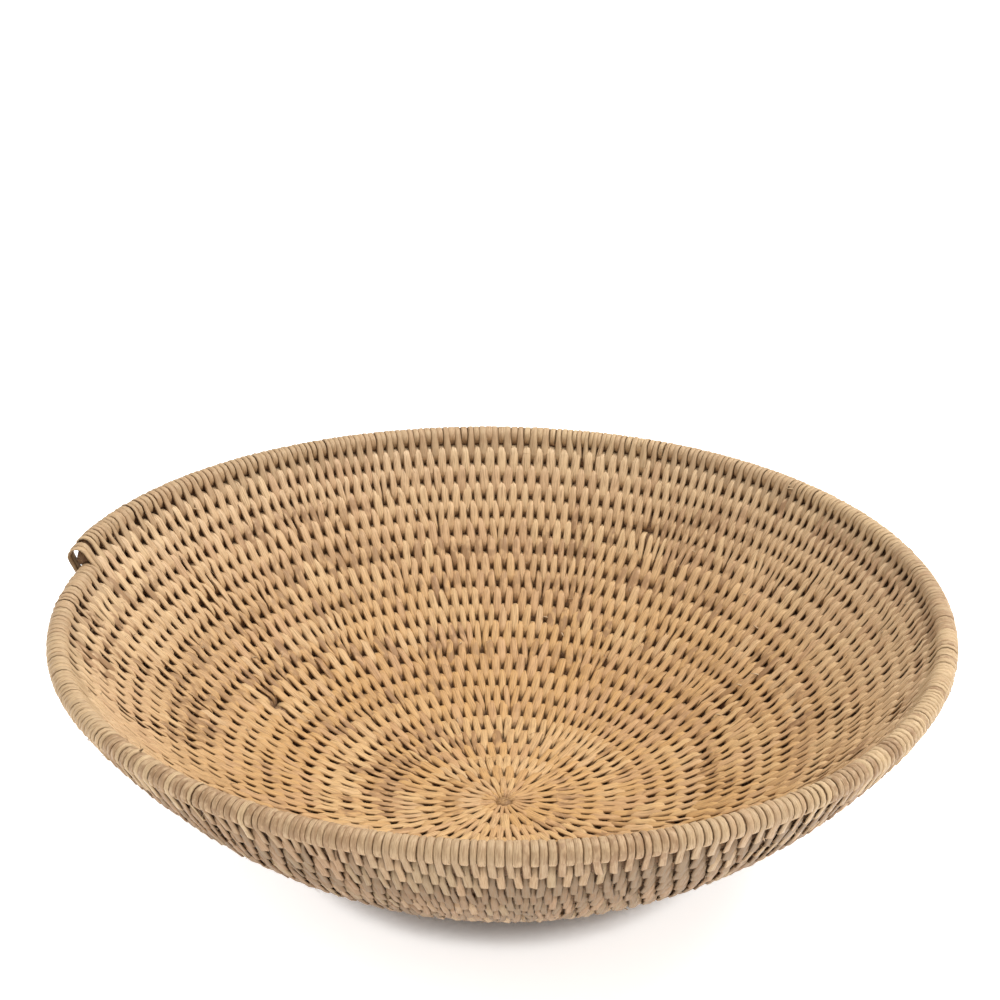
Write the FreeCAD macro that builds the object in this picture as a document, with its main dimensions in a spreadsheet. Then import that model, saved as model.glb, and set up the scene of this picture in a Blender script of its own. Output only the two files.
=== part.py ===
import FreeCAD
import Part
import Sketcher

import math
import os

# A coiled winnowing basket. One coil runs in a spiral from a knot at the centre of the floor to the
# rim. Its foundation is a run of round vine rods laid end to end, and the rods are covered by the
# stitching: strips of split root wound round the coil and caught in the turn before. The coil stops
# at one place on the rim, where its end tapers, is bound over, and has a small loop beside it.
#
# Frame: +Z up, the origin in the middle of the flat underside, angles anticlockwise from +X. A place
# along the coil is a number of turns, counted so that the last whole turn ends at the loop.

# Driving dimensions: alias, value, what it is. Lengths are in millimetres and angles in degrees.
DIMENSIONS = [
    ("CoilPitch", 11.2, "from one turn of the coil to the next, along the wall"),
    ("TurnCount", 24, "turns from the centre to the end of the coil"),
    ("StartTurn", 0.6, "where the coil starts, beside the knot, in turns from the centre"),
    ("RodRadius", 3.9, "foundation rod"),
    ("RodClearance", 0.1, "between the rod and its stitching"),
    ("StitchRadius", 5.25, "rod with its stitching"),
    ("WornDepth", 0.4, "how far the underside is worn flat"),
    ("FlatRadius", 35.0, "flat part of the floor"),
    ("HaunchRadius", 157.0, "curvature where the floor turns up"),
    ("HaunchAngle", 23.3, "slope where the haunch meets the wall"),
    ("WallRadius", 260.0, "curvature of the wall"),
    ("EndAngle", 167.0, "place on the rim where the coil ends"),
    ("OvalShare", 0.0255, "the rim is longer one way, as a share of its radius"),
    ("OvalAngle", -6.0, "direction of the long way"),
    ("LobeShare", 0.0172, "the rim has three slight corners, as a share of its radius"),
    ("LobeAngle", 56.5, "direction of one corner"),
    ("SaddleShare", 0.0124, "the rim dips twice in a turn, as a share of its radius"),
    ("SaddleAngle", -45.0, "direction of one high place"),
    ("RodLength", 330.0, "most that one foundation rod measures"),
    ("CoverLength", 65.0, "most of the coil that one strip of root covers"),
    ("CoverAngle", 45.0, "most that one strip goes round near the centre"),
    ("EndGap", 0.4, "between one rod or strip and the next in its turn"),
    ("KnotRadius", 5.2, "starting knot"),
    ("KnotHeight", 9.2, "starting knot"),
    ("KnotDimple", 1.4, "hollow in the top of the knot"),
    ("KnotEdge", 0.9, "rounding of the knot's two edges"),
    ("KnotShiftX", 1.6, "middle of the knot from the middle of the floor"),
    ("KnotShiftY", -3.6, "middle of the knot from the middle of the floor"),
    ("TaperLength", 14.0, "tapered end of the coil"),
    ("TaperRadius", 2.2, "foundation where it stops"),
    ("BindingRadius", 3.5, "binding where the foundation stops"),
    ("LoopRadius", 7.2, "loop, to the inner face of its strips"),
    ("LoopThickness", 1.2, "strip of the loop"),
    ("LoopWidth", 3.0, "strip of the loop"),
    ("LoopRise", 2.3, "centre of the loop above the turn that it crosses"),
    ("LoopSweep", 250.0, "how far round the loop goes"),
    ("LoopOffset", 3.4, "middle of the first strip, past the end of the coil"),
    ("LoopSpacing", 3.5, "from the first strip of the loop to the second"),
]

UP = FreeCAD.Vector(0, 0, 1)


def make_sheet(doc):
    """The spreadsheet of driving dimensions, one to a row: alias, value, meaning."""
    sheet = doc.addObject("Spreadsheet::Sheet", "Dims")
    for row, (alias, value, meaning) in enumerate(DIMENSIONS, start=1):
        sheet.set(f"A{row}", alias)
        sheet.set(f"B{row}", str(value))
        sheet.set(f"C{row}", meaning)
        sheet.setAlias(f"B{row}", alias)
    doc.recompute()
    return sheet


class Bowl:
    """The surface that the middle of the coil lies on, worked out from the spreadsheet."""

    def __init__(self, sheet):
        self.pitch = sheet.CoilPitch
        self.reach = sheet.CoilPitch * sheet.TurnCount
        self.flat = sheet.FlatRadius
        self.haunch = sheet.HaunchRadius
        self.haunch_angle = math.radians(sheet.HaunchAngle)
        self.wall = sheet.WallRadius
        self.end = math.radians(sheet.EndAngle)
        self.oval = (sheet.OvalShare, math.radians(sheet.OvalAngle))
        self.lobe = (sheet.LobeShare, math.radians(sheet.LobeAngle))
        self.saddle = (sheet.SaddleShare, math.radians(sheet.SaddleAngle))
        self.foot = sheet.StitchRadius - sheet.WornDepth
        self.rim_radius = self.meridian(self.reach)[0]

    def meridian(self, along):
        """Radius and height at a distance along the wall from the centre: a flat disc, then the
        haunch's arc, then the wall's longer arc, each tangent to the one before."""
        turned = max(0.0, along - self.flat) / self.haunch
        slope = min(turned, self.haunch_angle)
        steeper = slope + (turned - slope) * self.haunch / self.wall
        radius = min(along, self.flat) + self.haunch * math.sin(slope)
        radius += self.wall * (math.sin(steeper) - math.sin(slope))
        height = self.haunch * (1 - math.cos(slope))
        height += self.wall * (math.cos(slope) - math.cos(steeper))
        return radius, height

    def point(self, along, angle):
        """A point of the bowl. The oval, the three corners and the saddle that handwork leaves
        grow with the square of the distance from the centre."""
        radius, height = self.meridian(along)
        grown = (along / self.reach) ** 2
        stretch = self.oval[0] * math.cos(2 * (angle - self.oval[1]))
        stretch += self.lobe[0] * math.cos(3 * (angle - self.lobe[1]))
        lift = self.saddle[0] * math.cos(2 * (angle - self.saddle[1])) * self.rim_radius
        radius *= 1 + grown * stretch
        height += grown * lift + self.foot
        return FreeCAD.Vector(radius * math.cos(angle), radius * math.sin(angle), height)

    def coil(self, turns):
        """The middle of the coil."""
        return self.point(self.pitch * turns, self.end + 2 * math.pi * turns)

    def length(self, start, end):
        """Length of the coil between two places, near enough to share it out."""
        return 2 * math.pi * (end - start) * self.meridian(self.pitch * 0.5 * (start + end))[0]

    def turns_in(self, length):
        """How many turns a short length at the end of the coil makes."""
        return length / (2 * math.pi * self.rim_radius)

    def shares(self, start, end, pieces, gap):
        """Equal shares of a stretch of coil as pairs of places, each a gap short of the next."""
        step = (end - start) / pieces
        trim = 0.5 * gap * (end - start) / self.length(start, end)
        firsts = [start + step * index for index in range(pieces)]
        return [(first + trim, first + step - trim) for first in firsts]

    def placement(self, turns, lift=0.0):
        """A frame on the coil, or lifted off it up the wall: Z along the coil, X up the wall."""
        origin = self.coil(turns)
        forward = (self.coil(turns + 0.0005) - self.coil(turns - 0.0005)).normalize()
        inner = self.coil(turns - 1)
        up_wall = (origin - inner).normalize()
        turn = FreeCAD.Rotation(up_wall, FreeCAD.Vector(), forward, "ZXY")
        return FreeCAD.Placement(origin + turn.multVec(FreeCAD.Vector(lift, 0, 0)), turn)


def arc_through(first, middle, last):
    """Placement and angle of the arc through three points: X points at the first from the middle
    of the arc's circle, Z is the circle's axis, and the origin is the first point."""
    arc = Part.Arc(first, middle, last).toShape()
    circle = arc.Curve
    axis = circle.Axis
    outward = (first - circle.Center).normalize()
    turn = FreeCAD.Rotation(outward, axis.cross(outward), axis, "ZXY")
    sweep = math.degrees(arc.LastParameter - arc.FirstParameter)
    return FreeCAD.Placement(first, turn), circle.Radius, sweep


def add_circle(sketch, radius, formula):
    """A circle round the sketch's origin, its radius bound to the sheet."""
    index = sketch.addGeometry(Part.Circle(FreeCAD.Vector(), UP, radius), False)
    sketch.addConstraint(Sketcher.Constraint("Coincident", index, 3, -1, 1))
    number = sketch.addConstraint(Sketcher.Constraint("Radius", index, radius))
    sketch.setExpression(f"Constraints[{number}]", formula)


def add_outline(sketch, corners):
    """A closed outline. Each corner is a pair of (value, formula), or None for on the axis."""
    points = [FreeCAD.Vector(x[0], y[0], 0) for x, y in corners]
    for start, end in zip(points, points[1:] + points[:1]):
        sketch.addGeometry(Part.LineSegment(start, end), False)
    count = len(points)
    for index in range(count):
        following = (index + 1) % count
        sketch.addConstraint(Sketcher.Constraint("Coincident", index, 2, following, 1))
    for index, corner in enumerate(corners):
        for kind, on_axis, (value, formula) in zip(("DistanceX", "DistanceY"), (-2, -1), corner):
            if formula is None:
                sketch.addConstraint(Sketcher.Constraint("PointOnObject", index, 1, on_axis))
            else:
                place = Sketcher.Constraint(kind, -1, 1, index, 1, value)
                number = sketch.addConstraint(place)
                sketch.setExpression(f"Constraints[{number}]", formula)


def turned_body(doc, label, corners, sweep=None):
    """A PartDesign body: an outline in XZ, turned about Z all the way or through a bound angle."""
    body = doc.addObject("PartDesign::Body", "Body")
    body.Label = label
    sketch = body.newObject("Sketcher::SketchObject", "Outline")
    sketch.AttachmentSupport = [(body.Origin.OriginFeatures[4], "")]
    sketch.MapMode = "FlatFace"
    add_outline(sketch, corners)
    turned = body.newObject("PartDesign::Revolution", "Turned")
    turned.Profile = sketch
    turned.ReferenceAxis = (sketch, ["V_Axis"])
    turned.Angle = 360
    if sweep is not None:
        turned.setExpression("Angle", sweep)
    doc.recompute()
    return body, turned


def make_knot(doc, sheet):
    """The starting knot: a flat-bottomed button with a hollow top and rounded edges."""
    hollow = sheet.KnotHeight - sheet.KnotDimple
    corners = [
        ((0, None), (0, None)),
        ((sheet.KnotRadius, "Dims.KnotRadius * 1 mm"), (0, None)),
        ((sheet.KnotRadius, "Dims.KnotRadius * 1 mm"), (sheet.KnotHeight, "Dims.KnotHeight * 1 mm")),
        ((0, None), (hollow, "(Dims.KnotHeight - Dims.KnotDimple) * 1 mm")),
    ]
    body, turned = turned_body(doc, "coil_start_knot", corners)
    rims = []
    for number, edge in enumerate(turned.Shape.Edges, start=1):
        if isinstance(edge.Curve, Part.Circle) and edge.Curve.Radius > 0.9 * sheet.KnotRadius:
            rims.append(f"Edge{number}")
    rounding = body.newObject("PartDesign::Fillet", "Rounding")
    rounding.Base = (turned, rims)
    rounding.setExpression("Radius", "Dims.KnotEdge * 1 mm")
    body.setExpression("Placement.Base.x", "Dims.KnotShiftX * 1 mm")
    body.setExpression("Placement.Base.y", "Dims.KnotShiftY * 1 mm")
    return body


def make_rod(doc, bowl, start, end):
    """One foundation rod: a circle swept along the coil between two places."""
    steps = max(6, math.ceil((end - start) * 36))
    places = [start + (end - start) * step / steps for step in range(steps + 1)]
    curve = Part.BSplineCurve()
    curve.interpolate([bowl.coil(place) for place in places])
    spine = doc.addObject("Part::Feature", "RodLine")
    spine.Shape = Part.Wire([curve.toShape()])
    section = doc.addObject("Part::Circle", "RodSection")
    section.setExpression("Radius", "Dims.RodRadius * 1 mm")
    forward = curve.tangent(curve.FirstParameter)[0]
    section.Placement = FreeCAD.Placement(bowl.coil(start), FreeCAD.Rotation(UP, forward))
    rod = doc.addObject("Part::Sweep", "Rod")
    rod.Sections = [section]
    rod.Spine = (spine, ["Edge1"])
    rod.Solid = True
    return rod


def make_cover(doc, bowl, ring, start, end):
    """The stitching that one strip makes: the ring section turned along an arc of the coil."""
    middle = 0.5 * (start + end)
    placement, radius, sweep = arc_through(bowl.coil(start), bowl.coil(middle), bowl.coil(end))
    cover = doc.addObject("Part::Revolution", "Cover")
    cover.Source = ring
    cover.Base = FreeCAD.Vector(-radius, 0, 0)
    cover.Axis = UP
    cover.Angle = sweep
    cover.Solid = True
    cover.FaceMakerClass = "Part::FaceMakerBullseye"
    cover.Placement = placement
    return cover


def make_group(doc, label, members):
    """A node that holds several separate solids."""
    group = doc.addObject("Part::Compound", "Group")
    group.Label = label
    group.Links = members
    return group


def make_foundation(doc, sheet, bowl, label, start, end):
    """The rods of one turn."""
    pieces = math.ceil(bowl.length(start, end) / sheet.RodLength)
    spans = bowl.shares(start, end, pieces, sheet.EndGap)
    return make_group(doc, label, [make_rod(doc, bowl, *span) for span in spans])


def make_stitching(doc, sheet, bowl, ring, ground, label, start, end):
    """The strips of one turn. Where the turn reaches the ground its underside is worn flat."""
    by_length = math.ceil(bowl.length(start, end) / sheet.CoverLength)
    by_angle = math.ceil(360 * (end - start) / sheet.CoverAngle)
    spans = bowl.shares(start, end, max(by_length, by_angle), sheet.EndGap)
    group = make_group(doc, label, [make_cover(doc, bowl, ring, *span) for span in spans])
    if bowl.coil(start).z > sheet.StitchRadius:
        return group
    group.Label = f"{label}_unworn"
    worn = doc.addObject("Part::Cut", "Worn")
    worn.Label = label
    worn.Base = group
    worn.Tool = ground
    return worn


def make_coil_end(doc, sheet, bowl, start):
    """The whittled end of the last rod, and the strip that is bound over it."""
    taper = doc.addObject("Part::Cone", "Taper")
    taper.Label = "coil_end_taper"
    taper.setExpression("Radius1", "Dims.RodRadius * 1 mm")
    taper.setExpression("Radius2", "Dims.TaperRadius * 1 mm")
    taper.setExpression("Height", "Dims.TaperLength * 1 mm")
    bore = sheet.RodRadius + sheet.RodClearance
    tip_bore = sheet.TaperRadius + sheet.RodClearance
    corners = [
        ((bore, "(Dims.RodRadius + Dims.RodClearance) * 1 mm"), (0, None)),
        ((sheet.StitchRadius, "Dims.StitchRadius * 1 mm"), (0, None)),
        ((sheet.BindingRadius, "Dims.BindingRadius * 1 mm"),
         (sheet.TaperLength, "Dims.TaperLength * 1 mm")),
        ((tip_bore, "(Dims.TaperRadius + Dims.RodClearance) * 1 mm"),
         (sheet.TaperLength, "Dims.TaperLength * 1 mm")),
    ]
    binding, _ = turned_body(doc, "coil_end_binding", corners)
    for piece in (taper, binding):
        piece.Placement = bowl.placement(start)
    return [taper, binding]


def make_loop(doc, sheet, bowl):
    """The loop beside the coil's end: two strips that arch over the rim, open at the bottom."""
    outer = sheet.LoopRadius + sheet.LoopThickness
    half = 0.5 * sheet.LoopWidth
    near = "Dims.LoopRadius * 1 mm"
    far = "(Dims.LoopRadius + Dims.LoopThickness) * 1 mm"
    corners = [
        ((sheet.LoopRadius, near), (-half, "-Dims.LoopWidth * 0.5 mm")),
        ((outer, far), (-half, "-Dims.LoopWidth * 0.5 mm")),
        ((outer, far), (half, "Dims.LoopWidth * 0.5 mm")),
        ((sheet.LoopRadius, near), (half, "Dims.LoopWidth * 0.5 mm")),
    ]
    strips = []
    for index, label in enumerate(("rim_loop_first_strip", "rim_loop_second_strip")):
        strip, _ = turned_body(doc, label, corners, "Dims.LoopSweep * 1 deg")
        past = bowl.turns_in(sheet.LoopOffset + index * sheet.LoopSpacing)
        centre = bowl.placement(sheet.TurnCount - 1 + past, sheet.LoopRise)
        start = FreeCAD.Rotation(UP, -0.5 * sheet.LoopSweep)
        strip.Placement = FreeCAD.Placement(centre.Base, centre.Rotation.multiply(start))
        strips.append(strip)
    return strips


def build():
    """Builds the document and writes each sub-part to its own file."""
    doc = FreeCAD.newDocument("WinnowingBasket")
    sheet = make_sheet(doc)
    bowl = Bowl(sheet)

    ring = doc.addObject("Sketcher::SketchObject", "RingSection")
    ring.Placement = FreeCAD.Placement(FreeCAD.Vector(), FreeCAD.Rotation(FreeCAD.Vector(1, 0, 0), 90))
    bore = sheet.RodRadius + sheet.RodClearance
    add_circle(ring, bore, "(Dims.RodRadius + Dims.RodClearance) * 1 mm")
    add_circle(ring, sheet.StitchRadius, "Dims.StitchRadius * 1 mm")

    ground = doc.addObject("Part::Cylinder", "Ground")
    ground.setExpression("Radius", "Dims.CoilPitch * Dims.TurnCount * 1 mm")
    ground.setExpression("Height", "Dims.StitchRadius * 1 mm")
    ground.Placement.Base = FreeCAD.Vector(0, 0, -sheet.StitchRadius)

    parts = [make_knot(doc, sheet)]
    taper_start = sheet.TurnCount - bowl.turns_in(sheet.TaperLength)
    for turn in range(1, int(sheet.TurnCount)):
        start = turn if turn > 1 else sheet.StartTurn
        end = min(turn + 1, taper_start)
        rods = f"foundation_turn_{turn:02d}"
        strips = f"stitching_turn_{turn:02d}"
        parts.append(make_foundation(doc, sheet, bowl, rods, start, end))
        parts.append(make_stitching(doc, sheet, bowl, ring, ground, strips, start, end))
    parts += make_coil_end(doc, sheet, bowl, taper_start)
    parts += make_loop(doc, sheet, bowl)
    doc.recompute()

    for item in doc.Objects:
        if "Invalid" in item.State or "Error" in item.State:
            raise RuntimeError(f"{item.Label} did not compute: {item.State}")
    os.makedirs("parts", exist_ok=True)
    for part in parts:
        if part.Shape.isNull() or not part.Shape.isValid():
            raise RuntimeError(f"{part.Label} has no valid shape")
        part.Shape.exportStep(f"parts/{part.Label}.step")
        print(f"{part.Label}: {len(part.Shape.Solids)} solids, {part.Shape.Volume:.0f} mm3")


build()
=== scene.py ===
# %% [markdown]
# # A coiled winnowing basket
#
# One coil of vine rods runs in a spiral from a knot in the middle of the floor up to the rim. Strips
# of split root wind round it and tie each turn to the turn before. Nearly everything that you see is
# that stitching: nearly three thousand strips, each 3 to 6 mm wide.
#
# The model is made the way the basket is. First comes the line of the coil, then the place of each
# stitch along it, then one short strip of mesh for each stitch. All lengths are in metres.

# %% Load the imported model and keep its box
import math

import bpy
import numpy as np
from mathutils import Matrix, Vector


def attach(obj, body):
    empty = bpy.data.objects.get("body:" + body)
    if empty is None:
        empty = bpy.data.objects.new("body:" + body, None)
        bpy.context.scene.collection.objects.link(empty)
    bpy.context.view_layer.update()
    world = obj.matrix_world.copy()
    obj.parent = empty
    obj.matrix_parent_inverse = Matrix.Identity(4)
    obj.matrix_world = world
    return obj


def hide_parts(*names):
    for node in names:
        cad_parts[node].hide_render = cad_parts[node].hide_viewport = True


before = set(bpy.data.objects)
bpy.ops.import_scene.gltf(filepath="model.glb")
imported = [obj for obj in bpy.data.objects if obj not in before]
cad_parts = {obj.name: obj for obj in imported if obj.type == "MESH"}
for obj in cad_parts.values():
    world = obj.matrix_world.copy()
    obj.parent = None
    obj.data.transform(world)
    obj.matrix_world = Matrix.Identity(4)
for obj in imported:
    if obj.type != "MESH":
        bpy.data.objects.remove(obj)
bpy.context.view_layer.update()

DICE = np.random.default_rng(24)

# %% [markdown]
# ## The line of the coil
#
# A coiled basket is drawn most easily as a surface that the middle of the coil lies on. Seen in
# section that surface is three curves, each tangent to the next: a flat disc, a tight arc where the
# floor turns up, and a longer arc for the wall. Handwork makes it slightly oval, gives it three soft
# corners and lets the rim dip twice. These are the same numbers as the solid model's.
#
# A formula is used, and not a sculpted mesh, because everything else has to ask it where it is.

# %% The bowl's surface
PITCH = 0.0112
TURNS = 24
START_TURN = 0.6
REACH = PITCH * TURNS
FLAT, HAUNCH, WALL = 0.035, 0.157, 0.260
HAUNCH_ANGLE = math.radians(23.3)
END_ANGLE = math.radians(167.0)
OVAL, LOBE, SADDLE = (0.0255, -6.0), (0.0172, 56.5), (0.0124, -45.0)
FOOT = 0.00485


def meridian(along):
    """Radius and height at a distance along the wall: radius is the flat disc's reach plus each arc's
    radius times the sine it has turned through, height the same with one minus the cosine."""
    turned = np.maximum(along - FLAT, 0) / HAUNCH
    slope = np.minimum(turned, HAUNCH_ANGLE)
    steeper = slope + (turned - slope) * HAUNCH / WALL
    radius = np.minimum(along, FLAT) + HAUNCH * np.sin(slope) + WALL * (np.sin(steeper) - np.sin(slope))
    height = HAUNCH * (1 - np.cos(slope)) + WALL * (np.cos(slope) - np.cos(steeper))
    return radius, height


RIM_RADIUS = float(meridian(np.array(REACH))[0])


def wave(share_and_angle, count, angle):
    """A cosine that repeats count times in a turn and peaks at the given angle."""
    share, peak = share_and_angle
    return share * np.cos(count * (angle - math.radians(peak)))


def bowl(along, angle):
    """Points of the surface. Oval, corners and saddle grow with the square of the way out."""
    radius, height = meridian(along)
    grown = (along / REACH) ** 2
    radius = radius * (1 + grown * (wave(OVAL, 2, angle) + wave(LOBE, 3, angle)))
    height = height + grown * wave(SADDLE, 2, angle) * RIM_RADIUS + FOOT
    return np.stack([radius * np.cos(angle), radius * np.sin(angle), height], axis=-1)


def unit(vectors):
    """Vectors made one long."""
    return vectors / np.linalg.norm(vectors, axis=-1, keepdims=True)


def bowl_frame(along, angle):
    """A point of the surface with its three directions: round the bowl, up the wall, and outward.
    The first two are small differences of the surface, and outward is their cross product."""
    step = 1e-5
    point = bowl(along, angle)
    up_wall = unit(bowl(along + step, angle) - bowl(along - step, angle))
    around = unit(np.stack([-np.sin(angle), np.cos(angle), 0 * angle], axis=-1))
    around = unit(around - up_wall * np.sum(around * up_wall, axis=-1, keepdims=True))
    return point, around, up_wall, np.cross(around, up_wall)


def coil_angle(turns):
    """Direction from the centre at a place along the coil."""
    return END_ANGLE + 2 * np.pi * turns


def girth(turns):
    """Length of a whole turn at a place along the coil."""
    return 2 * np.pi * meridian(PITCH * turns)[0]


coil_length = float(girth(np.arange(1, TURNS) + 0.5).sum())
print("rim radius", round(RIM_RADIUS, 4), "coil length", round(coil_length, 2))

# %% [markdown]
# ## Where the stitches go
#
# The weaver pushes each new stitch through the middle of the gap between two stitches of the turn
# below, so the strips lie like bricks. The bowl widens, so the gaps widen too, and when one is too
# wide the weaver puts two stitches into it. That shows on the basket as a small V. The tops of the
# stitches are then pushed along until they are evenly spaced, which makes the strips lean a little.
#
# It could be done with copies of one stitch on a curve, but then the bricks would not meet. So a
# stitch is kept as four numbers: where its foot is, where its top is, how wide its gap is, and
# whether it shares that gap with another.

# %% Place every stitch
WIDEST_GAP = 0.0090
FIRST_TURN_STITCHES = 24
SHARED_GAP_PLACE = 0.23
MISSING = 0.0012


def place_stitches():
    """Feet, tops and gap widths in turns, and 1 where two share a gap. Each turn's feet are the
    middles of the last turn's gaps, and its tops are its feet evened out five times, each time by
    a quarter of the differences from its two neighbours."""
    tops = START_TURN + np.arange(FIRST_TURN_STITCHES + 1) / FIRST_TURN_STITCHES
    feet = tops.copy()
    gaps = np.full(tops.shape, 1 / FIRST_TURN_STITCHES)
    doubled = np.zeros(tops.shape)
    done = 0
    while tops[-1] < TURNS:
        left, right = tops[done:-1] + 1, tops[done + 1:] + 1
        done = len(tops) - 1
        width = (right - left) * girth(0.5 * (left + right))
        two = width > WIDEST_GAP * DICE.uniform(0.86, 1.08, len(width))
        middle = 0.5 * (left + right)
        aside = np.where(two, SHARED_GAP_PLACE * (right - left), 0.0)
        new_feet = np.concatenate([middle - aside, (middle + aside)[two]])
        order = np.argsort(new_feet)
        new_gaps = np.concatenate([right - left, (right - left)[two]])[order]
        new_doubled = np.concatenate([two, two[two]])[order]
        new_feet = new_feet[order]
        new_tops = np.concatenate([[tops[-1]], new_feet])
        for _ in range(5):
            new_tops[1:-1] += 0.25 * (new_tops[:-2] + new_tops[2:] - 2 * new_tops[1:-1])
        tops = np.concatenate([tops, new_tops[1:]])
        feet = np.concatenate([feet, new_feet])
        gaps = np.concatenate([gaps, new_gaps])
        doubled = np.concatenate([doubled, new_doubled])
    return feet, tops, gaps, doubled


feet, tops, gaps, doubled = place_stitches()
spacing = np.gradient(tops) * girth(tops)
keep = (tops < TURNS - 0.0012) & (tops > START_TURN - 1e-6)
keep &= (DICE.random(len(tops)) > MISSING) | (tops > TURNS - 1.2) | (tops < 5)
print("stitches", int(keep.sum()), "on the rim", int((keep & (tops > TURNS - 1)).sum()))
print("spacing mm", np.round(1000 * np.percentile(spacing[keep], [2, 50, 98]), 2))

# %% [markdown]
# ## One strip of root
#
# A stitch is a closed band. It goes over the top of its own turn, down the inside of the bowl, under
# the turn below, and back up the outside. Split root is flat underneath and rounded on top, and it
# is pulled narrow where it dives between two turns. There are thousands, so each band has only a few
# dozen faces: eighteen places round the loop, and five corners in its section.

# %% Sizes of a strip
STRIP_THICK = 0.00115
CORE = 0.0044
TAB = 0.0028
LOWEST = 0.0002
ARC = 7
PATH = 2 * (ARC + 2)
SECTION_X = np.array([-0.5, -0.31, 0.31, 0.5, 0.0])
SECTION_Y = np.array([0.22, 0.95, 0.95, 0.22, -0.12])
BEHIND_TOP = np.arange(PATH) > ARC
print("places round a band", PATH, "corners in its section", len(SECTION_X))


def half_loop(start, end, steps):
    """Cosines and sines of evenly spaced angles, given in degrees, as two rows."""
    angle = np.radians(np.linspace(start, end, steps))
    return np.cos(angle), np.sin(angle)


# %% The path and the corners of a band
def loop_path(span, top_size, foot_size, inside, outside):
    """Middle line of each band in its own section, as up-the-wall and outward distances from the
    middle of its turn: half an ellipse over the top, a run down the inside, half an ellipse round the
    foot, and a run back up the outside. inside and outside each hold how far the band stands off at
    its top and at its foot. Also the direction that faces away from the coil."""
    top_up, top_out = half_loop(90, -90, ARC)
    foot_up, foot_out = half_loop(-90, -270, ARC)
    runs = np.array([0.38, 0.62])
    span, size, end = span[:, None], top_size[:, None], foot_size[:, None]
    foot_reach = np.where(foot_out > 0.1, np.minimum(end, TAB), end)
    foot = -span + foot_reach * foot_up
    up = np.concatenate([size * top_up, -span * runs, foot, -span * runs[::-1]], axis=1)
    (top_in, foot_in), (top_off, foot_off) = ([v[:, None] for v in pair] for pair in (inside, outside))
    hollow = 0.96
    down_run = -(top_in * (1 - runs) + foot_in * runs) * hollow
    up_run = (foot_off * runs[::-1] + top_off * (1 - runs[::-1])) * hollow
    over = top_out * np.where(top_out > 0, top_off, top_in)
    below = foot_out * np.where(foot_out > 0, foot_off, foot_in)
    out = np.concatenate([over, down_run, below, up_run], axis=1)
    away_up = np.concatenate([top_up, [0, 0], foot_up, [0, 0]])
    away_out = np.concatenate([top_out, [-1, -1], foot_out, [1, 1]])
    return up, out, away_up, away_out


def behind(out):
    """0 on the inside of the bowl, 1 on the outside, and a straight line between over 8 mm."""
    return np.clip(0.5 + out / 0.008, 0, 1)


def height_weather(along):
    """0 on the floor, growing to 1 at the rim as the power 1.5 of the way up the wall."""
    return np.clip((along / REACH - 0.45) / 0.55, 0, 1) ** 1.5


def stand_section(centre, around, away, x, y):
    """Corner points: the section's x laid round the bowl and its y away from the coil."""
    corners = centre[:, :, None, :] + x[..., None] * around[:, :, None, :]
    corners = corners + y[..., None] * away[:, :, None, :]
    corners[..., 2] = np.maximum(corners[..., 2], LOWEST)
    return corners


def bands(top_turns, foot_along, foot_turns, aside, widths, top_size, foot_size,
          inside, outside, tilt, pinch=1.0, drop=0.0):
    """Corner points of closed bands, as bands x path x section x 3. The middle line is laid on the
    bowl: down the wall by its up distance, off it by its out distance, and round it evenly from the
    top's place to the foot's. Outside, the foot lies further round by aside, so that it covers the
    strip below. widths holds the width at the top, at the foot inside and at the foot outside, and
    pinch is 1 where the strip narrows over its top and 0 where it doesn't. A drop lowers the top of
    a loose band. Also how much painted shade each place gets where it dives between turns, and how
    weathered it is, which past 1, on the outside, is painted shade."""
    along = PITCH * top_turns - drop
    span = along - foot_along
    up, out, away_up, away_out = loop_path(span, top_size, foot_size, inside, outside)
    down = np.clip(-up / span[:, None], 0, 1)
    at_back = behind(out)
    turns = top_turns[:, None] * (1 - down) + (foot_turns[:, None] + aside[:, None] * at_back) * down
    here = np.maximum(along[:, None] + up, 0.0006)
    point, around, up_wall, outward = bowl_frame(here, coil_angle(turns))
    over = np.clip(up / top_size[:, None], 0, 1)
    under = np.clip((-span[:, None] - up) / foot_size[:, None], 0, 1)
    top_width, foot_width, back_width = (w[:, None] for w in widths)
    pinch = np.broadcast_to(pinch, top_turns.shape)[:, None]
    top_width = top_width * (1 - 0.16 * pinch * at_back)
    width = top_width * (1 - down) + (foot_width * (1 - at_back) + back_width * at_back) * down
    tip = np.clip((-span[:, None] - up) / TAB, 0, 1)
    width = width * (1 - pinch * 0.12 * over) * (1 - 0.36 * under * (1 - at_back))
    width = width * (1 - 0.44 * at_back * np.clip(1.7 * tip, 0, 1) ** 2)
    away = away_up[:, None] * up_wall + away_out[:, None] * outward
    centre = point + out[..., None] * outward
    x = SECTION_X * width[..., None]
    y = SECTION_Y * STRIP_THICK + x * tilt[:, None, None]
    corners = stand_section(centre, around, away, x, y)
    # The outside goes past 1, up to 1.6, and that part paints shade on it.
    weather_and_shade = np.maximum(at_back * (1.2 + 0.4 * pinch), height_weather(here))
    # The second value is painted shade: darkest over the top and round the foot, where a strip dives between
    # two turns.
    return corners, np.maximum(0.7 * over ** 4, 0.85 * under ** 3), weather_and_shade


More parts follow.
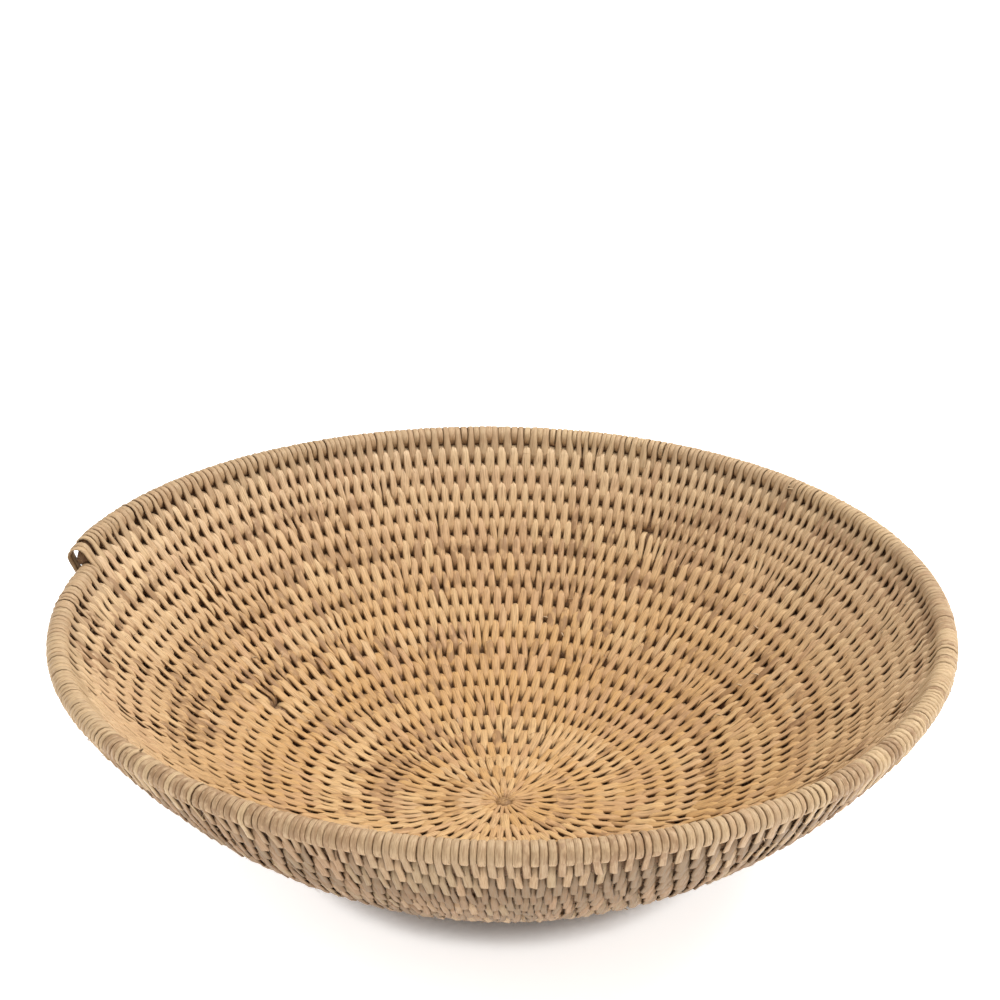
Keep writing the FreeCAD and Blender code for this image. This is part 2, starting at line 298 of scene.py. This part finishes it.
# %% Meshes and pieces
def band_mesh(name, corners, fields):
    """A mesh of closed bands. Each face joins two neighbours along the path and two round the
    section, with both counts wrapping. U runs across the strip, and V along it from a place that
    its tone picks. The named values come as one for each band, or one for each place along it."""
    count, path, section, _ = corners.shape
    index = np.arange(count * path * section).reshape(count, path, section)
    ahead = np.roll(index, -1, axis=1)
    faces = np.stack([index, np.roll(index, -1, axis=2), np.roll(ahead, -1, axis=2), ahead], axis=-1)
    u0 = np.broadcast_to(SECTION_X + 0.5, index.shape)
    u1 = np.roll(u0, -1, axis=2)
    v0 = np.arange(path)[:, None] / path + (fields["tone"] * 997.3 % 1)[:, None, None] * 5 + 0.0 * index
    u = np.stack([u0, u1, u1, u0], axis=-1)
    v = np.stack([v0, v0, v0 + 1 / path, v0 + 1 / path], axis=-1)
    spread = {}
    for field, values in fields.items():
        values = values[:, None, None] if values.ndim == 1 else values[:, :, None]
        spread[field] = np.broadcast_to(values, index.shape)
    return grid_mesh(name, corners.reshape(-1, 3), faces.reshape(-1, 4), (u, v), spread)


def finish_mesh(mesh, fields):
    """Gives each point of a mesh its named values, and smooths it."""
    for field, values in fields.items():
        layer = mesh.attributes.new(field, "FLOAT", "POINT")
        layer.data.foreach_set("value", values.astype(np.float32).ravel())
    mesh.shade_smooth()
    mesh.validate()
    return mesh


def ring_faces(rings):
    """Faces between each ring of a tube and the next, for rings of equally many points, and the U
    of each face's corners: evenly round the ring."""
    count, around = rings
    index = np.arange(count * around).reshape(count, around)
    side = np.roll(index, -1, axis=1)
    faces = np.stack([index[:-1], index[1:], side[1:], side[:-1]], axis=-1)
    return faces.reshape(-1, 4), np.broadcast_to(np.arange(around) / around, (count - 1, around))


def tube_mesh(name, points, along, fields):
    """A mesh of rings x points x 3, with U round each ring and V as given for each ring."""
    faces, u0 = ring_faces(points.shape[:2])
    u1 = u0 + 1 / points.shape[1]
    v0, v1 = (np.broadcast_to(v[:, None], u0.shape) for v in (along[:-1], along[1:]))
    uv = np.stack([u0, u0, u1, u1], axis=-1), np.stack([v0, v1, v1, v0], axis=-1)
    return grid_mesh(name, points.reshape(-1, 3), faces, uv, fields)


def grid_mesh(name, points, faces, uv, fields):
    """A mesh from whole arrays: points, four-cornered faces, texture places and named values."""
    mesh = bpy.data.meshes.new(name)
    mesh.vertices.add(len(points))
    mesh.vertices.foreach_set("co", points.astype(np.float32).ravel())
    mesh.loops.add(faces.size)
    mesh.loops.foreach_set("vertex_index", faces.astype(np.int32).ravel())
    mesh.polygons.add(len(faces))
    mesh.polygons.foreach_set("loop_start", np.arange(0, faces.size, 4, dtype=np.int32))
    mesh.update(calc_edges=True)
    layer = mesh.uv_layers.new(name="strip")
    places = np.stack([np.ravel(uv[0]), np.ravel(uv[1])], axis=-1)
    layer.data.foreach_set("uv", places.astype(np.float32).ravel())
    return finish_mesh(mesh, fields)


def add_piece(name, mesh, material, slot, *nodes):
    """Puts a mesh into the scene as a piece of the basket that stands for some of its solids."""
    piece = bpy.data.objects.new(name, mesh)
    bpy.context.scene.collection.objects.link(piece)
    mesh.materials.append(material)
    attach(piece, "root")
    if nodes:
        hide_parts(*nodes)


# %% [markdown]
# ## Finishes
#
# Dry split root is pale gold inside the bowl and greyer where hands and weathering reach it: the rim
# and the outside, which is also darkened with painted shade. Fine fibres run along each strip, brown
# bark is left on some, and painted shade darkens the places where a strip dives between two turns,
# and its edges. The strips carry their own values for that: a tone that is the same all along one
# strip, how much painted shade each place gets, and how weathered it is.
#
# The fibres could be painted as a picture, but noise stretched along each strip is as good at this
# size and never repeats. It is one node group, used in each material with its own amounts.

# %% Helpers for nodes
def add_node(tree, kind, settings=None, **sockets):
    """Adds a node. A socket's value is a number, a colour, or another node's output to link."""
    node = tree.nodes.new(kind)
    for name, value in (settings or {}).items():
        setattr(node, name, value)
    for name, value in sockets.items():
        key = int(name[1:]) if name[1:].isdigit() else name.replace("_", " ")
        if isinstance(value, bpy.types.NodeSocket):
            tree.links.new(value, node.inputs[key])
        else:
            node.inputs[key].default_value = value
    return node


def math_node(tree, operation, first, second=0.0, third=0.0):
    """The result of one sum on one, two or three values."""
    node = add_node(tree, "ShaderNodeMath", {"operation": operation}, _0=first, _1=second, _2=third)
    return node.outputs[0]


def mix_colour(tree, factor, first, second):
    """Two colours mixed by a factor."""
    node = add_node(tree, "ShaderNodeMix", {"data_type": "RGBA"}, _0=factor, _6=first, _7=second)
    return node.outputs[2]


def spread_range(tree, value, low, high, new_low=0.0, new_high=1.0):
    """A value carried from one range to another, smoothly and clamped."""
    settings = {"interpolation_type": "SMOOTHSTEP"}
    ends = {"_1": low, "_2": high, "_3": new_low, "_4": new_high}
    return add_node(tree, "ShaderNodeMapRange", settings, _0=value, **ends).outputs[0]


def attribute(tree, name):
    """One of the values that the strips carry."""
    return add_node(tree, "ShaderNodeAttribute", {"attribute_name": name}).outputs["Fac"]


def place_on_strip(tree):
    """U and V of the strip: across it and along it."""
    uv = add_node(tree, "ShaderNodeUVMap", {"uv_map": "strip"})
    return add_node(tree, "ShaderNodeSeparateXYZ", _0=uv.outputs[0]).outputs


def new_material(title):
    """An empty material and its node tree."""
    material = bpy.data.materials.new(title)
    material.use_nodes = True
    material.node_tree.nodes.clear()
    return material, material.node_tree


def new_group(title, inputs, outputs):
    """An empty node group with named number sockets, and its input and output nodes."""
    group = bpy.data.node_groups.new(title, "ShaderNodeTree")
    for name, value in inputs:
        socket = group.interface.new_socket(name=name, in_out="INPUT", socket_type="NodeSocketFloat")
        socket.default_value = value
    for name in outputs:
        group.interface.new_socket(name=name, in_out="OUTPUT", socket_type="NodeSocketFloat")
    return group, group.nodes.new("NodeGroupInput"), group.nodes.new("NodeGroupOutput")


# %% The fibres of split root, as a node group
def make_fibre_group():
    """Noise stretched along the strip: fine lines for the fibres, and long soft patches for stain.
    Every strip reads another part of the noise, because its tone moves the place that is read."""
    inputs = [("Across", 0.5), ("Along", 0.0), ("Strip", 0.5), ("Fineness", 9.0)]
    group, given, out = new_group("Root fibres", inputs, ("Lines", "Patches", "Height"))
    apart = math_node(group, "MULTIPLY", given.outputs["Strip"], 173.0)
    across = math_node(group, "MULTIPLY", given.outputs["Across"], given.outputs["Fineness"])
    along = math_node(group, "MULTIPLY", given.outputs["Along"], 7.0)
    fine = add_node(group, "ShaderNodeCombineXYZ", X=across, Y=along, Z=apart)
    kind = "ShaderNodeTexNoise"
    lines = add_node(group, kind, Vector=fine.outputs[0], Scale=1.0, Detail=3.0, Roughness=0.6)
    wide = math_node(group, "MULTIPLY", given.outputs["Across"], 1.3)
    long_way = math_node(group, "MULTIPLY", given.outputs["Along"], 9.0)
    soft = add_node(group, "ShaderNodeCombineXYZ", X=wide, Y=long_way, Z=math_node(group, "ADD", apart, 31.0))
    patches = add_node(group, kind, Vector=soft.outputs[0], Scale=1.0, Detail=2.0, Roughness=0.5)
    group.links.new(spread_range(group, lines.outputs[0], 0.28, 0.72), out.inputs["Lines"])
    group.links.new(spread_range(group, patches.outputs[0], 0.3, 0.72), out.inputs["Patches"])
    some_patches = math_node(group, "MULTIPLY", patches.outputs[0], 0.3)
    height = math_node(group, "MULTIPLY_ADD", lines.outputs[0], 0.7, some_patches)
    group.links.new(height, out.inputs["Height"])
    return group


FIBRES = make_fibre_group()
print("fibre group", [socket.name for socket in FIBRES.interface.items_tree])


def fibres_of(tree, place, strip, fineness):
    """The fibre group's lines, patches and height at a place on a strip."""
    sockets = {"Across": place[0], "Along": place[1], "Strip": strip, "Fineness": fineness}
    return add_node(tree, "ShaderNodeGroup", {"node_tree": FIBRES}, **sockets).outputs


# %% Split root, for the wall and for the rim
BARK = (0.235, 0.125, 0.055, 1)
# The next colour is a dark brown: painted shade in the gaps and along strip edges, and the knot's own browner
# colour. The one after it is painted shade for the outside of the bowl.
SHADE_BROWN = (0.10, 0.052, 0.022, 1)
SHADE = (0.200, 0.130, 0.070, 1)
ROSE = (0.50, 0.30, 0.165, 1)
PALE = (0.70, 0.51, 0.28, 1)


def make_root_material(title, gold, grey, stain, roughness, rose):
    """Split root: gold to grey by weathering, with painted shade on the outside, lighter or darker by
    tone, bark in patches, painted shade in the gaps and along the edges, which also browns the knot,
    and fibres that show in colour, gloss and relief."""
    material, tree = new_material(title)
    place = place_on_strip(tree)
    tone, shade_and_browning, weather_and_shade = (attribute(tree, name) for name in ("tone", "shade_and_browning", "weather_and_shade"))
    lines, patches, height = fibres_of(tree, place, tone, 12.0)
    base = mix_colour(tree, weather_and_shade, gold, grey)
    # Painted shade: past 1, on the outside of the bowl, the colour darkens towards a shade brown.
    base = mix_colour(tree, spread_range(tree, weather_and_shade, 1.0, 1.6, 0.0, 0.95), base, SHADE)
    hue = math_node(tree, "FRACT", math_node(tree, "MULTIPLY", tone, 91.3))
    base = mix_colour(tree, spread_range(tree, hue, 0.45, 1.0, 0.0, rose), base, ROSE)
    kin = math_node(tree, "FRACT", math_node(tree, "MULTIPLY", tone, 37.7))
    base = mix_colour(tree, spread_range(tree, kin, 0.55, 1.0, 0.0, 0.34), base, PALE)
    dark_kin, soft_patches = spread_range(tree, kin, 0.42, 0.0), spread_range(tree, patches, 0.1, 0.75)
    brown = math_node(tree, "MULTIPLY", dark_kin, soft_patches)
    base = mix_colour(tree, math_node(tree, "MULTIPLY", brown, stain), base, BARK)
    between_lines = math_node(tree, "MULTIPLY", spread_range(tree, lines, 0.72, 0.0), 0.60)
    base = mix_colour(tree, between_lines, base, BARK)
    # Painted shade along both edges of each strip.
    edge = math_node(tree, "ABSOLUTE", math_node(tree, "SUBTRACT", place[0], 0.5))
    base = mix_colour(tree, spread_range(tree, edge, 0.36, 0.5, 0.0, 0.5), base, SHADE_BROWN)
    # Painted shade where a strip dives between two turns; on the knot the same value gives its own browner
    # colour.
    base = mix_colour(tree, math_node(tree, "MULTIPLY", shade_and_browning, 0.86), base, SHADE_BROWN)
    bump = add_node(tree, "ShaderNodeBump", Strength=0.7, Distance=0.0005, Height=height)
    rough = spread_range(tree, lines, 0.0, 1.0, roughness + 0.12, roughness - 0.06)
    looks = {"Base_Color": base, "Roughness": rough, "Normal": bump.outputs[0]}
    shader = add_node(tree, "ShaderNodeBsdfPrincipled", **looks)
    shader.inputs["Specular IOR Level"].default_value = 0.35
    add_node(tree, "ShaderNodeOutputMaterial", Surface=shader.outputs[0])
    return material


wall_root = make_root_material(
    "split root of the wall", (0.54, 0.318, 0.126, 1), (0.67, 0.482, 0.294, 1),
    stain=0.75, roughness=0.56, rose=0.5,
)
rim_root = make_root_material(
    "split root of the rim", (0.57, 0.422, 0.258, 1), (0.475, 0.328, 0.185, 1),
    stain=0.6, roughness=0.52, rose=0.25,
)
print("nodes in the wall's root", len(wall_root.node_tree.nodes))

# %% [markdown]
# ## The stitching
#
# On the rim the weaver puts a short stitch between two long ones. It goes round the last turn only,
# and closes the gap that the next turn's stitches would have filled.
#
# Inside the bowl the tops of the long stitches stand proud and their feet dive narrow between two
# turns. Outside it is the other way round: the feet stand proud, like the ends of roof tiles.
#
# A pattern in the bump of one smooth bowl would be lighter, but it has no gaps to see rods through
# and no ragged rim. So each stitch is a real band, and only its fibres are bump.

# %% Gather the stitches
stitch = {
    "feet": feet[keep],
    "tops": tops[keep],
    "gap": (gaps * girth(tops))[keep],
    "double": doubled[keep] > 0.5,
    "spacing": spacing[keep],
}
number = len(stitch["tops"])
on_rim = stitch["tops"] > TURNS - 1.0
beside_knot = stitch["tops"] < START_TURN + 1
stitch_girth = girth(stitch["tops"])
print("beside the knot", int(beside_knot.sum()), "two in a gap", int(stitch["double"].sum()))


def wild(amount, count=number):
    """Small random differences, one for each stitch."""
    return DICE.normal(0, amount, count)


def taper(turns):
    """How thick the coil is, as a share: 1 up to its last 10 mm, then down to two thirds."""
    left = (TURNS - turns) * girth(turns)
    return 0.66 + 0.34 * np.clip(left / 0.010, 0, 1)


# %% Long stitches
# Strips from one root lie together, so they share a tone in bundles.
BUNDLE = 14
NARROWEST, WIDEST = 0.0019, 0.0056
bundle = DICE.random(number // BUNDLE + 2)
order = (np.arange(number) + np.cumsum(DICE.random(number) < 0.03) * 5) % number
long_tone = 0.99 * bundle[order // BUNDLE] + 0.005 * DICE.random(number)
thick = taper(stitch["tops"])
top_width = np.clip(np.where(on_rim, 0.51, 0.72) * stitch["spacing"], NARROWEST, WIDEST)
one_wide = np.where(stitch["double"], 0.46, 0.74) * stitch["gap"]
foot_width = np.where(beside_knot, 0.0022, np.clip(one_wide, NARROWEST, WIDEST))
back_width = np.where(beside_knot, 0.0022, np.clip(0.76 * one_wide, NARROWEST, 0.0050))
vary = 1 + wild(0.07)
face = thick * CORE + wild(0.00010)
long_corners, long_gap_shade, long_weather_and_shade = bands(
    stitch["tops"] + wild(0.00024) / stitch_girth,
    np.where(beside_knot, 0.0066, PITCH * (stitch["feet"] - 1)) + wild(0.00025),
    stitch["feet"] + wild(0.00028) / stitch_girth,
    np.where(beside_knot, 0.0, (0.12 + wild(0.06)) * stitch["gap"] / stitch_girth),
    (top_width * vary, foot_width * vary, back_width * vary * (1 + wild(0.06))),
    thick * (CORE + np.where(on_rim, 0.0002, 0.0004)),
    np.where(beside_knot, 0.0018, CORE - 0.0004),
    (face + 0.00025, face - 0.00005),
    (face - 0.00010, face + 0.00075),
    wild(0.14),
    np.where(on_rim, 0.0, 1.0),
)
# No painted shade over the top of the rim's turn.
long_gap_shade = np.where(on_rim[:, None], long_gap_shade * BEHIND_TOP, long_gap_shade)
print("long strips", number, "width mm", np.round(1000 * np.percentile(top_width, [2, 50, 98]), 2))

# %% Short stitches, between the long ones of the same turn
SHORT_PATH = 12
ring_up, ring_out = half_loop(90, -240, SHORT_PATH)


def short_bands(turns, width, size):
    """Corner points of closed rings round the coil: a circle of the given size, and the section
    standing off it, as for the long ones. Also how weathered each place is."""
    along = (PITCH * turns)[:, None] + size[:, None] * ring_up
    out = size[:, None] * ring_out
    angle = coil_angle(turns)[:, None] + 0 * along
    point, around, up_wall, outward = bowl_frame(along, angle)
    away = ring_up[:, None] * up_wall + ring_out[:, None] * outward
    x = SECTION_X * width[:, None, None] * np.ones((1, SHORT_PATH, 1))
    y = SECTION_Y * STRIP_THICK + 0 * x
    corners = stand_section(point + out[..., None] * outward, around, away, x, y)
    return corners, np.maximum(behind(out), height_weather(along))


rim_spacing = stitch["spacing"][on_rim][:-1]
rim_turns = (stitch["tops"] + 0.5 * stitch["spacing"] / stitch_girth)[on_rim][:-1]
rim_count = len(rim_turns)
rim_width = 0.575 * rim_spacing * (1 + wild(0.07, rim_count))
rim_size = taper(rim_turns) * CORE + 0.0001 + wild(0.00008, rim_count)
short_corners, short_weather = short_bands(rim_turns, rim_width, rim_size)
short_tone = long_tone[on_rim][:-1] + 0.002
print("short strips", rim_count, "width mm", np.round(1000 * np.percentile(rim_width, [2, 50, 98]), 2))

# %% Put each turn into the scene
for turn in range(1, TURNS):
    mine = np.clip(np.floor(stitch["tops"]), 1, TURNS - 1) == turn
    rim = turn == TURNS - 1
    finish, slot = (rim_root, "root_strip_rim") if rim else (wall_root, "root_strip")
    fields = {"shade_and_browning": long_gap_shade[mine], "tone": long_tone[mine], "weather_and_shade": long_weather_and_shade[mine]}
    mesh = band_mesh(f"long_{turn:02d}", long_corners[mine], fields)
    add_piece(f"long_stitches_{turn:02d}", mesh, finish, slot, f"stitching_turn_{turn:02d}")
fields = {"shade_and_browning": 0.0 * short_weather, "tone": short_tone, "weather_and_shade": short_weather}
mesh = band_mesh("short", short_corners, fields)
add_piece("short_stitches", mesh, rim_root, "root_strip_rim", f"stitching_turn_{TURNS - 1}")
print("faces", (number * PATH + rim_count * SHORT_PATH) * len(SECTION_X))

# %% [markdown]
# ## The foundation
#
# In the gaps you see the vine rods that the strips are wound on: brown, fibrous, a little ridged.
# They are one tube for each turn. A tube is a ring of points carried along the coil. A curve with a
# bevel would make one too, but a ring that is worked out can taper, ridge, and drop at the end.

# %% Vine rods
RING = 12
ROD = 0.0046
ROD_STEP = 0.0045
ROD_THICK = 0.88


def rod_mesh(name, start, end, rise, sink, drop=0.0):
    """A tube along the coil from one place to another, higher than it is thick. Its radius has
    shallow ridges, cosines that wander round it, and it tapers with the coil. The last 12 mm may
    drop. The last ring at each end is drawn in to a pinhole, which is left open. Its faces look
    into the tube."""
    steps = int(np.ceil((end - start) * float(girth(0.5 * (start + end))) / ROD_STEP)) + 1
    turns = np.concatenate([[start], np.linspace(start, end, steps), [end]])
    closing = np.ones(steps + 2)
    closing[[0, -1]] = 0.02
    point, around, up_wall, outward = bowl_frame(PITCH * turns, coil_angle(turns))
    angle = (2 * np.pi * np.arange(RING) / RING)[None, :]
    turn_of = turns[:, None]
    ridge = 1 + 0.03 * np.cos(5 * angle + 9 * turn_of) + 0.02 * np.sin(3 * angle - 31 * turn_of)
    radius = ROD * (taper(turns) * closing)[:, None] * ridge
    high = rise * np.cos(angle)[..., None] * up_wall[:, None, :]
    thick = ROD_THICK * np.sin(angle)[..., None] * outward[:, None, :]
    left = (TURNS - turns) * girth(turns)
    low = sink + drop * np.clip(1 - left / 0.012, 0, 1) ** 2
    points = (point - low[:, None] * up_wall)[:, None, :] + radius[..., None] * (high + thick)
    return tube_mesh(name, points, turns * girth(turns) * 40, {})


def make_vine_material():
    """Bare vine: dark brown fibres with paler broken ones between."""
    material, tree = new_material("vine rod")
    lines, patches, height = fibres_of(tree, place_on_strip(tree), 0.3, 26.0)
    base = mix_colour(tree, lines, (0.10, 0.052, 0.024, 1), (0.30, 0.17, 0.08, 1))
    base = mix_colour(tree, math_node(tree, "MULTIPLY", patches, 0.5), base, (0.13, 0.062, 0.028, 1))
    bump = add_node(tree, "ShaderNodeBump", Strength=0.9, Distance=0.0006, Height=height)
    looks = {"Base_Color": base, "Roughness": 0.85, "Normal": bump.outputs[0]}
    shader = add_node(tree, "ShaderNodeBsdfPrincipled", **looks)
    add_node(tree, "ShaderNodeOutputMaterial", Surface=shader.outputs[0])
    return material


vine = make_vine_material()
for turn in range(1, TURNS):
    start = START_TURN if turn == 1 else turn
    rim = turn == TURNS - 1
    if rim:
        mesh = rod_mesh(f"rods_{turn:02d}", start, turn + 1.0012, rise=1.22, sink=0.0008, drop=0.0034)
    else:
        mesh = rod_mesh(f"rods_{turn:02d}", start, turn + 1, rise=1.32, sink=0.0)
    nodes = [f"foundation_turn_{turn:02d}"] + (["coil_end_taper", "coil_end_binding"] if rim else [])
    add_piece(f"vine_rods_{turn:02d}", mesh, vine, "vine_rod", *nodes)
print("rod tubes", TURNS - 1, "points in the last", len(mesh.vertices))

# %% [markdown]
# ## The loop where the coil ends
#
# Past the end of the coil two strips still go over the rim, with no rod inside them. They arch over
# the turn below and leave a small opening under them. They are bands like all the others, so the
# same function makes them, with a little more room inside.

# %% Two loose strips
past = np.array([-0.0008, 0.0025])
loop_turns = TURNS + past / girth(float(TURNS))
even = np.ones(2)
loop_corners, loop_gap_shade, loop_weather_and_shade = bands(
    loop_turns, PITCH * (loop_turns - 1), loop_turns, 0.002 / girth(loop_turns),
    (0.0044 * even, 0.0032 * even, 0.0036 * even), 0.0038 * even, CORE * even,
    (0.0046 * even, 0.0046 * even), (0.0048 * even, 0.0052 * even), wild(0.04, 2),
    pinch=0.0, drop=np.array([0.0004, 0.0010]),
)
fields = {"shade_and_browning": loop_gap_shade * BEHIND_TOP, "tone": np.array([0.62, 0.71]), "weather_and_shade": loop_weather_and_shade}
loop_mesh = band_mesh("loop", loop_corners, fields)
loop_nodes = ("rim_loop_first_strip", "rim_loop_second_strip")
add_piece("rim_loop", loop_mesh, rim_root, "root_strip_rim", *loop_nodes)
print("loop points", len(loop_mesh.vertices))

# %% [markdown]
# ## The knot
#
# The coil starts from a knot of root in the middle of the floor, browner than the strips round it. A
# ball pressed flat would do, but rings of points can carry the swirl of the winding as well.

# %% The knot in the middle of the floor
KNOT_RADIUS = 0.0056
# How much the knot is darkened: its own browner colour.
KNOT_BROWNING = 0.34


def knot_mesh():
    """A low dome: height falls as the square of the way out, less a small dip in the middle, with
    ridges that swirl round it like wound fibre. Its underside is flat. Both poles are drawn in to
    pinholes, which are left open."""
    rings, around = 14, 36
    way = np.concatenate([np.linspace(0.01, 1, rings), [0.96, 0.5, 0.01]])
    angle = 2 * np.pi * np.arange(around) / around
    ridge = 1 + 0.07 * np.cos(9 * angle[None, :] + 7 * way[:, None])
    radius = KNOT_RADIUS * way[:, None] * ridge
    top = 0.0108 - 0.0046 * way ** 2 - 0.0012 * np.exp(-(way / 0.25) ** 2)
    height = np.where(np.arange(len(way)) < rings, top, 0.0003)[:, None] + 0 * ridge
    points = np.stack([radius * np.cos(angle), radius * np.sin(angle), height], axis=-1)
    return tube_mesh("knot", points, way, {"shade_and_browning": np.full(points.shape[:2], KNOT_BROWNING)})


add_piece("start_knot", knot_mesh(), wall_root, "start_knot", "coil_start_knot")
print("knot", 2 * KNOT_RADIUS, "m across")

# %% [markdown]
# ## Frayed ends
#
# Split root frays. Hair-thin fibres stand out of the gaps, and here and there the end of a strip was
# cut off short and left. A hair system could make them, but there are only a few hundred, so they
# are thin slivers of mesh that the export can keep.

# %% Loose fibres and cut ends
SLIVER_RINGS = 6


def fray_points(count, longest, thickness, flatness):
    """Curved slivers with a three-cornered section that shrinks to a fifth. Each starts between two
    stitches, inside or outside the bowl. It rises as the square root of the way along it and runs
    aside as the power 1.5, so it bends over. Mirroring the section turns some of them inside out."""
    turns = np.sqrt(DICE.uniform(4, (TURNS - 0.2) ** 2, count))
    side = np.where(DICE.random(count) < 0.6, -1.0, 1.0)
    along = PITCH * (turns + DICE.normal(0, 0.12, count))
    point, around, up_wall, outward = bowl_frame(along, coil_angle(turns))
    start = point + (side * 0.0034)[:, None] * outward
    lean = DICE.normal(0, 1, (count, 2))
    lean /= np.linalg.norm(lean, axis=1)[:, None]
    flat = lean[:, :1] * around + lean[:, 1:] * up_wall
    length = longest * DICE.uniform(0.35, 1, count)
    way = np.linspace(0, 1, SLIVER_RINGS)
    rise = (0.0022 + 0.30 * length)[:, None] * np.sqrt(way)
    run = length[:, None] * way ** 1.5
    lifted = start[:, None] + (side[:, None] * rise)[..., None] * outward[:, None]
    middle = lifted + run[..., None] * flat[:, None]
    across = np.cross(flat, outward)
    size = thickness * (1 - 0.8 * way ** 2)
    corner = 2 * np.pi * np.arange(3) / 3
    wide = np.cos(corner)[None, None, :, None] * across[:, None, None, :]
    high = np.sin(corner)[None, None, :, None] * (side[:, None] * outward)[:, None, None, :] / flatness
    points = middle[:, :, None, :] + size[None, :, None, None] * (wide + high)
    points[..., 2] = np.maximum(points[..., 2], 0.0003)
    each = np.ones((count, SLIVER_RINGS))
    return points, {"shade_and_browning": 0 * each, "tone": DICE.random(count)[:, None] * each, "weather_and_shade": 0.6 * each}


def sliver_mesh(name, count, longest, thickness, flatness):
    """The slivers as one mesh, each closed at both ends by a triangle."""
    points, fields = fray_points(count, longest, thickness, flatness)
    index = np.arange(points.shape[0] * SLIVER_RINGS * 3).reshape(-1, SLIVER_RINGS, 3)
    nxt = np.roll(index, -1, axis=2)
    sides = np.stack([index[:, :-1], index[:, 1:], nxt[:, 1:], nxt[:, :-1]], axis=-1).reshape(-1, 4)
    mesh = bpy.data.meshes.new(name)
    caps = np.concatenate([index[:, 0], index[:, -1, ::-1]])
    mesh.from_pydata(points.reshape(-1, 3).tolist(), [], sides.tolist() + caps.tolist())
    strip = mesh.uv_layers.new(name="strip")
    corners = np.zeros(len(mesh.loops), dtype=np.int32)
    mesh.loops.foreach_get("vertex_index", corners)
    ring = (corners // 3) % SLIVER_RINGS
    uv = np.stack([(corners % 3) / 3.0, ring / (SLIVER_RINGS - 1) * 0.4], axis=-1)
    strip.data.foreach_set("uv", uv.astype(np.float32).ravel())
    return finish_mesh(mesh, {field: np.repeat(values, 3, axis=1) for field, values in fields.items()})


for name, label, amounts in (
    ("loose_fibres", "fibres", {"count": 420, "longest": 0.0075, "thickness": 0.00017, "flatness": 1.0}),
    ("cut_ends", "ends", {"count": 90, "longest": 0.0050, "thickness": 0.00075, "flatness": 2.2}),
):
    add_piece(name, sliver_mesh(label, **amounts), rim_root, "root_strip")
    print(name, amounts["count"])

# %% [markdown]
# ## The studio
#
# The basket stands on plain white paper in soft light, with a strong lamp on the right, a weak one
# on the left and white all round. Paper lit like that goes grey in places. So it gives a little
# light of its own, which fades where the basket is near and leaves the tight shadow underneath.

# %% Floor and surroundings
FLOOR_REACH = 60


def set_up_stage():
    """A square of white paper far wider than any view, which glows as painted light except where the basket
    is near, and an even white world.
    """
    floor = bpy.data.meshes.new("floor")
    corners = [(x * FLOOR_REACH, y * FLOOR_REACH, 0) for x, y in ((-1, -1), (1, -1), (1, 1), (-1, 1))]
    floor.from_pydata(corners, [], [(0, 1, 2, 3)])
    ground = bpy.data.objects.new("floor", floor)
    bpy.context.scene.collection.objects.link(ground)
    paper = bpy.data.materials.new("pale floor")
    paper.use_nodes = True
    tree = paper.node_tree
    shader = tree.nodes["Principled BSDF"].inputs
    shader["Base Color"].default_value = (0.93, 0.93, 0.93, 1)
    shader["Roughness"].default_value = 0.9
    shader["Emission Color"].default_value = (1, 1, 1, 1)
    # Painted light: the paper glows, fading only where the basket is near, which leaves the tight shadow
    # under it.
    near = add_node(tree, "ShaderNodeAmbientOcclusion", {"samples": 8}, Distance=0.0214)
    glow = spread_range(tree, near.outputs["AO"], 0.38, 0.85, 0.0, 0.68)
    tree.links.new(glow, shader["Emission Strength"])
    floor.materials.append(paper)
    world = bpy.data.worlds.new("studio")
    world.use_nodes = True
    background = world.node_tree.nodes["Background"].inputs
    background["Color"].default_value = (1.0, 1.0, 1.0, 1)
    background["Strength"].default_value = 0.70
    bpy.context.scene.world = world
    bpy.context.scene.view_settings.view_transform = "Standard"


set_up_stage()
print("floor", 2 * FLOOR_REACH, "m across")

# %% Lamps
BOWL_MIDDLE = Vector((0, 0, 0.05))


def add_light(name, place, size, watts):
    """A soft square lamp that looks at the middle of the bowl."""
    lamp = bpy.data.lights.new(name, "AREA")
    lamp.size = size
    lamp.energy = watts
    holder = bpy.data.objects.new(name, lamp)
    holder.location = place
    holder.rotation_euler = (BOWL_MIDDLE - Vector(place)).to_track_quat("-Z", "Y").to_euler()
    bpy.context.scene.collection.objects.link(holder)


add_light("key", (1.3, 0.3, 2.2), 1.2, 66)
add_light("fill", (-1.6, -0.6, 2.2), 1.8, 16)
print("lamps", len(bpy.data.lights))

# %% Camera
# It looks from 25 degrees above at the centre of the last turn's ring, and is then moved up and a
# hair to the left without turning, so that the basket stands low in the view.
ELEVATION = math.radians(25.2)
CENTRE_RADIUS, CENTRE_HEIGHT = (float(v) for v in meridian(np.array(PITCH * (TURNS - 0.5))))
DISTANCE = 4.944 * CENTRE_RADIUS
LIFT, SHIFT = 0.05098 * DISTANCE, 0.00196 * DISTANCE
camera = bpy.data.objects.new("camera", bpy.data.cameras.new("camera"))
camera.data.lens = 76.7
forward = Vector((0, math.cos(ELEVATION), -math.sin(ELEVATION)))
upward = Vector((0, math.sin(ELEVATION), math.cos(ELEVATION)))
target = Vector((0, 0, CENTRE_HEIGHT + FOOT))
camera.location = target - forward * DISTANCE + upward * LIFT - Vector((SHIFT, 0, 0))
camera.rotation_euler = (math.radians(90) - ELEVATION, 0, 0)
bpy.context.scene.collection.objects.link(camera)
bpy.context.scene.camera = camera
print("camera", round(DISTANCE, 3), "m away")
